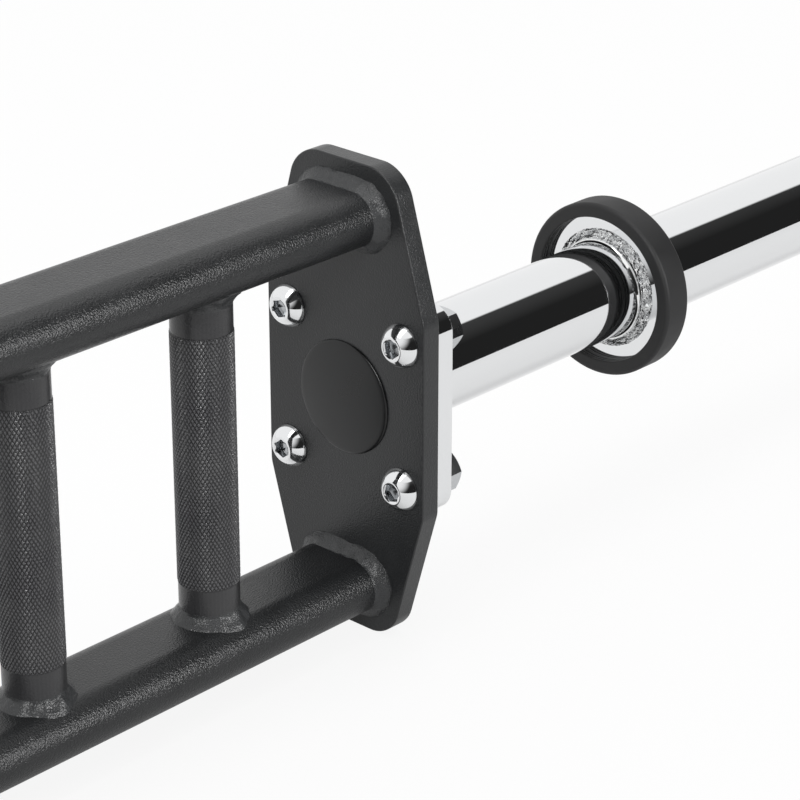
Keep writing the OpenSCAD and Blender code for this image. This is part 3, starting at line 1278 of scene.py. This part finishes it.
@dataclass
class CentreCaps(Assembly):
    """The domed caps over the sleeves' inner ends. See Assembly.

    Attributes:
        radius: Radius of the cap.
        rim: Thickness at its edge.
        dome: Rise of the dome over the rim.
        edge: Inset and height of each point of the rim's rounded edge.
        steps: Steps of the dome from its edge to its middle.
    """

    radius: float = 27.75
    rim: float = 1.2
    dome: float = 1.8
    edge: Points = ((0.1, 0.0), (0.0, 0.1), (0.0, 0.48), (0.12, 0.72), (0.5, 0.984))
    steps: int = 18

    def build(self) -> None:
        """Mould both caps."""
        for side in Side:
            blank = self.cap().swing(180, "Y").lay_along().shift(x=PLATE_X, z=AXIS_Z)
            self.set_end(side, blank, ("domed_cap", "centre_cap"), "plastic", self.finishes.plastic)

    def cap(self) -> Blank:
        """Mould one cap, standing on the XY plane.

        Returns:
            The cap as a blank.
        """
        inner = self.radius - self.rim
        ball = (inner**2 + self.dome**2) / (2 * self.dome)
        centre = self.rim + self.dome - ball
        section = Stem().section() + [(self.radius - inset, z) for inset, z in self.edge]
        for k in range(self.steps + 1):
            r = inner * (1 - k / self.steps)
            section.append((r, centre + math.sqrt(ball**2 - r**2)))
        return Blank().turn(section, STEPS, closed=False)


@dataclass
class Fasteners(Assembly):
    """Four button-head bolts and hexagon nuts through each plate and flange. See Assembly.

    Attributes:
        head_r: Radius of the button head.
        head_h: Height of the head.
        apex_share: Height that the head's dome would have without its flat top, as a share of head_h.
        edge_share: Height of the upright edge under the dome, as a share of head_h.
        seat_edge: Width and height of the chamfer at its seat.
        top_edge: Rounding between the dome and the flat top.
        thread_r: Radius over the thread.
        thread_pitch: Pitch of the thread.
        thread_share: Depth of the thread as a share of its pitch.
        thread_run: Length of the thread that is drawn, at the bolt's end.
        tip_in: Width of the chamfer at the bolt's end.
        tip_h: Length of that chamfer.
        socket_af: Width across the flats of the socket.
        socket_deep: Depth of the socket.
        mouth_r: Radius of the socket's round mouth.
        mouth_edge: Width and depth of the chamfer at the mouth.
        mouth_deep: Depths between which the mouth narrows to the hexagon.
        floor_h: How far short of the socket's deepest point its flats end and its cone begins.
        nut_af: Width across the flats of the nut.
        nut_h: Height of the nut.
        nut_face: Radius of its round faces, as a share of half the width across the flats.
        nut_bevel: Slope of its corners, in degrees.
        nut_sink: Widening and depth of the countersink at its outer face.
        nut_edge: Rounding of that countersink's edge.
        over: Length of bolt that stands out of the nut.
        socket_turn: Turn of each socket as tightened, in degrees.
        nut_turn: Turn of each nut as tightened, in degrees.
        steps: Facets round a bolt or nut.
    """

    head_r: float = 10.5
    head_h: float = 6.6
    apex_share: float = 1.25
    edge_share: float = 0.1
    seat_edge: Pair = (0.25, 0.2)
    top_edge: float = 0.12
    thread_r: float = 6.0
    thread_pitch: float = 1.75
    thread_share: float = 0.54
    thread_run: float = 3.5
    tip_in: float = 1.0
    tip_h: float = 0.9
    socket_af: float = 8.0
    socket_deep: float = 4.6
    mouth_r: float = 5.0
    mouth_edge: Pair = (0.15, 0.05)
    mouth_deep: Pair = (0.42, 0.6)
    floor_h: Pair = (0.9, 0.75)
    nut_af: float = 18.0
    nut_h: float = 10.8
    nut_face: float = 0.9
    nut_bevel: float = 30.0
    nut_sink: Pair = (0.45, 0.8)
    nut_edge: float = 0.15
    over: float = 1.5
    socket_turn: tuple[int, ...] = (45, 20, 22, 43)
    nut_turn: tuple[int, ...] = (50, 5, 33, 18)
    steps: int = 120

    def build(self) -> None:
        """Make the bolts and nuts of both sides."""
        made = self.finishes
        for side in Side:
            bolts, nuts = Blank(), Blank()
            for (y, up), socket_turn, nut_turn in zip(BOLT_PLACES, self.socket_turn, self.nut_turn):
                bolt = self.bolt().swing(socket_turn, "Z").lay_along()
                bolts.join(bolt.shift(x=PLATE_X, y=y, z=AXIS_Z + up))
                nut = self.nut().swing(nut_turn, "Z").lay_along()
                nuts.join(nut.shift(x=FLANGE_X, y=y, z=AXIS_Z + up))
            names = ("button_head_bolts", "flange_bolts")
            self.set_end(side, bolts, names, "chrome", made.fastener, 30.0, made.socket)
            self.set_end(side, nuts, ("hexagon_nuts", "flange_nuts"), "chrome", made.nut, 30.0)

    def hexagon(self, flats: float) -> Callable[[float], float]:
        """The radius of a hexagon by the angle, with a corner at 0, from its width across the flats."""
        return lambda angle: flats / 2 / math.cos((angle % (math.pi / 3)) - math.pi / 6)

    def bolt(self) -> Blank:
        """Forge one bolt, its seat at height 0, its head down -Z and its shank up +Z.

        Returns:
            The bolt as a blank.
        """
        blank = Blank()
        bm = blank.bm
        end = FLANGE_X - PLATE_X + self.nut_h + self.over
        tip_r = self.thread_r - self.tip_in
        bmesh.ops.create_circle(bm, cap_ends=True, segments=self.steps, radius=tip_r - 0.1)
        blank.shift(z=end)
        rows = 28
        heights = [end - self.tip_h - self.thread_run * k / rows for k in range(rows + 1)]
        rounds = [(tip_r, end)] + [(self.threaded(z), z) for z in heights] + self.head()
        floor = blank.rings(blank.open_edges(), rounds)
        bmesh.ops.edgeloop_fill(bm, edges=floor)
        blank.face_out()
        mouth, bottom = 0.35 - self.head_h, self.socket_deep + 0.1 - self.head_h
        corner_r = self.socket_af * 0.585
        for face in bm.faces:
            middle = face.calc_center_median()
            face.material_index = int(mouth < middle.z < bottom and middle.xy.length < corner_r)
        return blank

    def head(self) -> list[tuple[Measure, Measure]]:
        """The rings of a bolt's head, from its shank round to the floor of its socket.

        Returns:
            Radius and height of each ring.
        """
        top, floor = -self.head_h, self.socket_deep - self.head_h
        apex, edge = self.head_h * self.apex_share, self.head_h * self.edge_share
        ball = (self.head_r**2 + (apex - edge) ** 2) / (2 * (apex - edge))
        flat_r = math.sqrt(ball**2 - (self.head_h - apex + ball) ** 2)
        seat_r = self.head_r - self.seat_edge[0]
        rounds: list[tuple[Measure, Measure]] = [(self.thread_r, 0.0), (seat_r, 0.0)]
        rounds += [(self.head_r, -self.seat_edge[1]), (self.head_r, -edge)]
        dome_steps = 13
        for k in range(1, dome_steps + 1):
            r = self.head_r + (flat_r + self.top_edge - self.head_r) * (k / dome_steps)
            rounds.append((r, -(apex - ball + math.sqrt(ball**2 - r**2))))
        socket = self.hexagon(self.socket_af)
        rounds += [(flat_r - self.top_edge, top), (self.mouth_r, top)]
        rounds += [(self.mouth_r - self.mouth_edge[0], top + self.mouth_edge[1])]
        rounds += [(lambda t: socket(t) + 0.02, top + self.mouth_deep[0]), (socket, top + self.mouth_deep[1])]
        rounds += [(socket, floor - self.floor_h[0]), (lambda t: socket(t) * 0.9, floor - self.floor_h[1])]
        return rounds + [(0.4, floor)]

    def threaded(self, z: float) -> Callable[[float], float]:
        """The thread's radius round the bolt at a height.

        Args:
            z: Height along the bolt.

        Returns:
            The radius at an angle.
        """
        deep = self.thread_pitch * self.thread_share
        steep, crest = 2.5, 0.1

        def radius(angle: float) -> float:
            """Radius of the flank at an angle."""
            turn = (z / self.thread_pitch - angle / TURN) % 1.0
            flank = min(1.0, max(0.0, abs(turn - 0.5) * steep - crest))
            return self.thread_r - deep * flank

        return radius

    def nut(self) -> Blank:
        """Forge one nut, its seat at height 0.

        Returns:
            The nut as a blank.
        """
        blank = Blank()
        bm = blank.bm
        outline = self.hexagon(self.nut_af)
        face_r = self.nut_af / 2 * self.nut_face
        slope = math.tan(math.radians(self.nut_bevel))
        thread, bore, edge = self.thread_r + 0.02, self.thread_r + self.nut_sink[0], self.nut_edge
        bmesh.ops.create_circle(bm, cap_ends=False, segments=self.steps, radius=thread)
        blank.shift(z=self.nut_h - self.nut_sink[1])
        rounds = [(bore, self.nut_h - edge), (bore + edge, self.nut_h), (face_r, self.nut_h)]
        rounds += [(outline, lambda t: self.nut_h - (outline(t) - face_r) * slope)]
        rounds += [(outline, lambda t: (outline(t) - face_r) * slope), (face_r, 0.0), (thread, 0.0)]
        blank.rings(list(bm.edges), rounds)
        bmesh.ops.bridge_loops(bm, edges=blank.open_edges())
        return blank.face_out()


# Sleeves and stops


@dataclass
class Sleeves(Assembly):
    """The chromed sleeves: flange, tube, stop disc, their beads, rubber ring and end plug. See Assembly.

    Attributes:
        flange_in: Face of the flange on the end plate.
        flange_half: Half the flange's width and height.
        flange_r: Rounding of its corners.
        flange_edge: Rounding of its faces' edges.
        tube_in: Inner end of the tube.
        tube_out: Outer end of the tube.
        tube_edge: Rounding of its outer end.
        seat_deep: Depth of the seat under the stop disc.
        ring_mid: Middle of the rubber ring.
        ring_w: Width of the ring.
        ring_r: Outer radius of the ring.
        ring_wall: Its thickness at the lips.
        ring_grip: Depth of its channel.
        ring_edge: Rounding of its outer edges.
        lip_edge: Rounding of its lips.
        lip_grooves: Depth of the fine moulded grooves inside its lips, below the ring's faces.
        groove_cut: Width and depth of those grooves.
        disc_t: Thickness of the stop disc.
        disc_edge: Chamfer of its rim.
        bead_leg: Leg of the bead on the flange.
        stop_leg: Reach of a stop bead up the disc.
        stop_rise: Reach of a stop bead along the tube.
        stop_face: Points of that bead's face, hollow down to the tube, as shares of the leg and the rise.
        bead_steps: Facets round a bead.
        plug_head: Height of the end plug's head.
    """

    flange_in: float = 459.5
    flange_half: Pair = (48.5, 51.0)
    flange_r: float = 12.0
    flange_edge: float = 0.6
    tube_in: float = 450.0
    tube_out: float = 1050.0
    tube_edge: float = 0.6
    seat_deep: float = 0.4
    ring_mid: float = 641.5
    ring_w: float = 17.0
    ring_r: float = 45.5
    ring_wall: float = 7.5
    ring_grip: float = 3.5
    ring_edge: float = 2.2
    lip_edge: float = 1.0
    lip_grooves: Pair = (2.0, 3.8)
    groove_cut: float = 0.7
    disc_t: float = 6.0
    disc_edge: float = 0.5
    bead_leg: float = 4.5
    stop_leg: float = 6.5
    stop_rise: float = 5.5
    stop_face: Points = (
        (1.0, 0.0), (0.965, 0.055), (0.91, 0.095), (0.84, 0.13), (0.77, 0.165), (0.7, 0.2), (0.635, 0.235),
        (0.575, 0.275), (0.52, 0.32), (0.465, 0.37), (0.41, 0.425), (0.355, 0.485), (0.3, 0.55),
        (0.245, 0.625), (0.195, 0.705), (0.15, 0.795), (0.105, 0.895),
    )
    bead_steps: int = 480
    plug_head: float = 3.5

    def build(self) -> None:
        """Make both sleeves."""
        made = self.finishes
        disc_in, disc_out = self.ring_mid - self.disc_t / 2, self.ring_mid + self.disc_t / 2
        weld, blended = made.chrome_weld, made.blended_weld
        for side in Side:
            inner_bead = self.stop_bead(3).swing(180, "Y")
            jobs = (
                ("bolted_flange", "flange", "chrome", made.chrome, self.flange(), self.flange_in),
                ("sleeve_pipe", "sleeve_tube", "chrome", made.chrome, self.pipe(), 0.0),
                ("stop_washer", "stop_disc", "chrome", made.chrome, self.washer(), disc_in),
                ("flange_bead", "flange_weld", "chrome_weld", weld, self.flange_bead(), FLANGE_X),
                ("stop_bead_outer", "stop_weld_outer", "chrome_weld", blended, self.stop_bead(2), disc_out),
                ("stop_bead_inner", "stop_weld_inner", "chrome_weld", blended, inner_bead, disc_in),
                ("rubber_stop_ring", "stop_rubber", "rubber", made.rubber, self.rubber(), self.ring_mid),
                ("sleeve_end_plug", "sleeve_plug", "plastic", made.plastic, self.plug(), self.tube_out),
            )
            for name, node, slot, material, blank, x in jobs:
                self.set_end(side, blank.lay_along().shift(x=x, z=AXIS_Z), (name, node), slot, material)

    def flange(self) -> Blank:
        """Cut one flange, flat on the XY plane.

        Returns:
            The flange as a blank.
        """
        w, h = self.flange_half
        outline = [(w, h), (w, -h), (-w, -h), (-w, h)]
        return cut_plate(outline, {h: self.flange_r}, FLANGE_X - self.flange_in, self.flange_edge, TUBE_R)

    def pipe(self) -> Blank:
        """Turn one tube along +Z, with the shallow seat for the stop disc.

        Returns:
            The tube as a blank.
        """
        near, far = self.ring_mid - self.ring_w / 2, self.ring_mid + self.ring_w / 2
        seat, slope = TUBE_R - self.seat_deep, 0.1
        out, edge = self.tube_out, self.tube_edge
        section = [(BORE_R, self.tube_in), (TUBE_R, self.tube_in), (TUBE_R, near), (seat, near + slope)]
        section += [(seat, far - slope), (TUBE_R, far), (TUBE_R, out - edge)]
        section += [(TUBE_R - 0.3 * edge, out - 0.3 * edge), (TUBE_R - edge, out), (BORE_R, out)]
        return Blank().turn(section, FINE_STEPS)

    def washer(self) -> Blank:
        """Turn one stop disc.

        Returns:
            The disc as a blank.
        """
        outer, edge = self.ring_r - self.ring_wall + self.ring_grip, self.disc_edge
        section = [(TUBE_R, 0.0), (outer - edge, 0.0), (outer, edge), (outer, self.disc_t - edge)]
        section += [(outer - edge, self.disc_t), (TUBE_R, self.disc_t)]
        return Blank().turn(section, STEPS)

    def flange_bead(self) -> Blank:
        """Lay the bead round the tube on the flange.

        Returns:
            The bead as a blank.
        """
        section = hollow_face(self.bead_leg, self.bead_leg, dip=0.14, powers=(1.2, 1.2))
        bead = Bead(section, ripple_mm=1.5, ripple_high=0.22, lump_high=0.4, seed=1, grit_high=0.3)
        return bead.lay(TUBE_R, self.bead_steps)

    def stop_bead(self, seed: int) -> Blank:
        """Lay one bead on the stop disc: a rough toe on the disc that was blended hollow down to the tube.

        Args:
            seed: Place in the noise.

        Returns:
            The bead as a blank.
        """
        section = [(self.stop_leg * a, self.stop_rise * b) for a, b in self.stop_face]
        section += [(self.seat_deep + 0.02, self.stop_rise), (0.0, self.stop_rise)]
        relief = {"ripple_mm": 2.6, "ripple_high": 0.2, "lump_high": 0.3, "grit_high": 0.6}
        bead = Bead(section, seed=seed, smooth_above=0.42, **relief)
        return bead.lay(TUBE_R - self.seat_deep, self.bead_steps)

    def rubber(self) -> Blank:
        """Mould one ring with a channel for the rim of the disc and grooved lips, centred on the XY plane.

        Returns:
            The ring as a blank.
        """
        half, lip = self.ring_w / 2, self.ring_r - self.ring_wall
        deep, channel = lip + self.ring_grip, self.disc_t / 2
        outer = (0, self.ring_r - self.ring_edge, self.ring_edge)
        inner = (90, lip + self.lip_edge, self.lip_edge)
        upper = []
        for start, centre, radius in (outer, inner):
            for k in range(7):
                a = math.radians(start + 90 * k / 6)
                upper.append((centre + radius * math.cos(a), half - radius + radius * math.sin(a)))
        for down in self.lip_grooves:
            z, cut = half - down, self.groove_cut
            upper += [(lip, z + cut / 2), (lip + cut, z + cut / 4)]
            upper += [(lip + cut, z - cut / 4), (lip, z - cut / 2)]
        upper += [(lip, channel), (deep, channel)]
        return Blank().turn(upper + [(r, -z) for r, z in reversed(upper)], FINE_STEPS)

    def plug(self) -> Blank:
        """Mould one end plug, its flange on the XY plane.

        Returns:
            The plug as a blank.
        """
        r = TUBE_R - self.tube_edge
        start, edge = self.plug_head * 0.4, self.plug_head * 0.6
        section = Stem().section() + [(r, 0.0), (r, start)]
        for k in range(9):
            a = math.pi / 2 * k / 8
            section.append((r - edge * (1 - math.cos(a)), start + edge * math.sin(a)))
        return Blank().turn(section + [(0.0, self.plug_head)], STEPS, closed=False)


# Studio


@dataclass(frozen=True)
class SoftBox:
    """A lamp with a white cloth in front.

    Attributes:
        name: What it is called.
        place: Where it hangs, in metres.
        target: Where it points.
        size: Its width and height.
        power: Its power in watts.
    """

    name: str
    place: Place
    target: Place
    size: Pair
    power: float

    def hang(self) -> bpy.types.Object:
        """Hang it in the scene, unseen by the camera.

        Returns:
            The lamp.
        """
        lamp = bpy.data.lights.new(self.name, "AREA")
        lamp.shape = "RECTANGLE"
        lamp.size, lamp.size_y = self.size
        lamp.energy = self.power
        obj = bpy.data.objects.new(self.name, lamp)
        obj.location = self.place
        obj.rotation_euler = (Vector(self.target) - Vector(self.place)).to_track_quat("-Z", "Y").to_euler()
        obj.visible_camera = False
        bpy.context.scene.collection.objects.link(obj)
        return obj


@dataclass
class Studio:
    """White table, bright ceiling and backdrop, the unlit room behind the camera, and the camera.

    Attributes:
        eye: Place of the camera in metres.
        right: Direction of the picture's right edge.
        ahead: Direction that the camera looks in.
        lens_mm: Focal length on a sensor_mm wide sensor.
        sensor_mm: Width of the sensor.
        reach: How far the table goes to each side and to the back, in metres.
        table_edge: Its front edge.
        table_down: How far it lies below the bar's feet.
        overhead: Soft box over the table.
        front: Soft box in front of the bar.
        left: Soft box to the left of the camera.
        front_y: Y of the directions between which the room goes from unlit to white.
        below_z: Z of the directions between which it does so.
        left_lean: Share of a direction's Z that is added to its X, which slants the edge of the left wall.
        left_x: That slanted X of the directions between which the left wall goes from white to unlit.
        wall_z: Z of the directions between which the unlit part brightens.
        wall_level: Its brightness at these two.
    """

    eye: Place = (-0.40922, -0.83645, 0.64401)
    right: Place = (0.68273835, -0.73066235, 0.00093584)
    ahead: Place = (0.66863375, 0.62426072, -0.40401419)
    lens_mm: float = 127.14
    sensor_mm: float = 36.0
    reach: float = 30.0
    table_edge: float = -0.95
    table_down: float = 0.0002
    overhead: SoftBox = SoftBox("overhead_soft_box", (0.0, 0.05, 2.2), (0.0, 0.05, 0.0), (3.0, 0.7), 15.0)
    front: SoftBox = SoftBox("front_soft_box", (0.8, -1.4, 0.62), (0.42, 0.0, 0.12), (0.6, 0.5), 17.0)
    left: SoftBox = SoftBox("left_soft_box", (-0.95, -0.6, 0.92), (0.35, 0.0, 0.12), (0.5, 0.5), 12.0)
    front_y: Pair = (-0.14, -0.08)
    below_z: Pair = (0.71, 0.76)
    left_lean: float = -0.8
    left_x: Pair = (-1.3, -0.65)
    wall_z: Pair = (0.45, 0.72)
    wall_level: Pair = (0.017, 0.05)

    def build(self) -> None:
        """Set up the whole studio."""
        self.table()
        self.room()
        self.overhead.hang()
        self.flag((self.front.hang(), self.left.hang()), ("powder_coat", "moulded"))
        self.camera()
        bpy.context.scene.view_settings.view_transform = "Standard"

    def table(self) -> None:
        """Lay the white sheet that the bar stands on."""
        bm = bmesh.new()
        bmesh.ops.create_grid(bm, x_segments=2, y_segments=2, size=1.0)
        bmesh.ops.scale(bm, verts=bm.verts, vec=(self.reach, (self.reach - self.table_edge) / 2, 1))
        place = (0, (self.reach + self.table_edge) / 2, -self.table_down)
        bmesh.ops.translate(bm, verts=bm.verts, vec=place)
        mesh = bpy.data.meshes.new("white_table")
        bm.to_mesh(mesh)
        bm.free()
        mesh.materials.append(WhiteSheet("seamless_white_paper").make())
        obj = bpy.data.objects.new("white_table", mesh)
        bpy.context.scene.collection.objects.link(obj)

    def room(self) -> None:
        """Light the room: white above and behind the bar, unlit from the camera's side."""
        world = bpy.data.worlds.new("studio_room")
        bpy.context.scene.world = world
        bench = Bench(world)
        toward = bench.add("SeparateXYZ", {0: bench.add("TexCoord").outputs["Generated"]}).outputs
        front = bench.remap(toward["Y"], self.front_y, (1.0, 0.0), ease=True)
        below = bench.remap(toward["Z"], self.below_z, (1.0, 0.0), ease=True)
        slant = bench.work("MULTIPLY_ADD", toward["Z"], self.left_lean, toward["X"])
        beside = bench.remap(slant, self.left_x, (0.0, 1.0), ease=True)
        unlit = bench.work("MULTIPLY", bench.work("MULTIPLY", front, below), beside)
        level = bench.mix(unlit, 1.0, bench.remap(toward["Z"], self.wall_z, self.wall_level))
        seen = bench.work("MAXIMUM", level, bench.add("LightPath").outputs["Is Camera Ray"])
        back = bench.add("Background", {"Color": WHITE, "Strength": seen})
        bench.add("OutputWorld", {"Surface": back.outputs[0]})

    def flag(self, lamps: Iterable[bpy.types.Object], finishes: tuple[str, ...]) -> None:
        """Flag some lamps off all pieces but those in some finishes, so that no chrome mirrors them.

        Args:
            lamps: The lamps.
            finishes: How the names of the lit pieces' materials start.
        """
        lit = bpy.data.collections.new("lit_from_the_front")
        for obj in bpy.context.scene.objects:
            if obj.type == "MESH" and obj.data.materials[0].name.startswith(finishes):
                lit.objects.link(obj)
        for lamp in lamps:
            lamp.light_linking.receiver_collection = lit

    def camera(self) -> None:
        """Set the camera where the photograph was taken from."""
        data = bpy.data.cameras.new("product_camera")
        data.sensor_width = self.sensor_mm
        data.lens = self.lens_mm
        data.clip_start, data.clip_end = 0.05, 100.0
        right, ahead = Vector(self.right).normalized(), Vector(self.ahead).normalized()
        turn = Matrix((right, right.cross(ahead), -ahead)).transposed().to_4x4()
        obj = bpy.data.objects.new("product_camera", data)
        obj.matrix_world = Matrix.Translation(self.eye) @ turn
        bpy.context.scene.collection.objects.link(obj)
        bpy.context.scene.camera = obj


def main() -> None:
    """Build the bar piece by piece, then the studio."""
    logging.basicConfig(level=logging.INFO, format="%(name)s: %(message)s", stream=sys.stdout)
    finishes = Finishes()
    rails = Rails(finishes)
    grips = Grips(finishes)
    for assembly in (
        rails,
        grips,
        GripWelds(finishes, grips, rails),
        EndPlates(finishes),
        RailWelds(finishes, rails),
        CentreCaps(finishes),
        Fasteners(finishes),
        Sleeves(finishes),
        Studio(),
    ):
        assembly.build()
        log.info("%s is built", type(assembly).__name__)


if __name__ == "__main__":
    main()
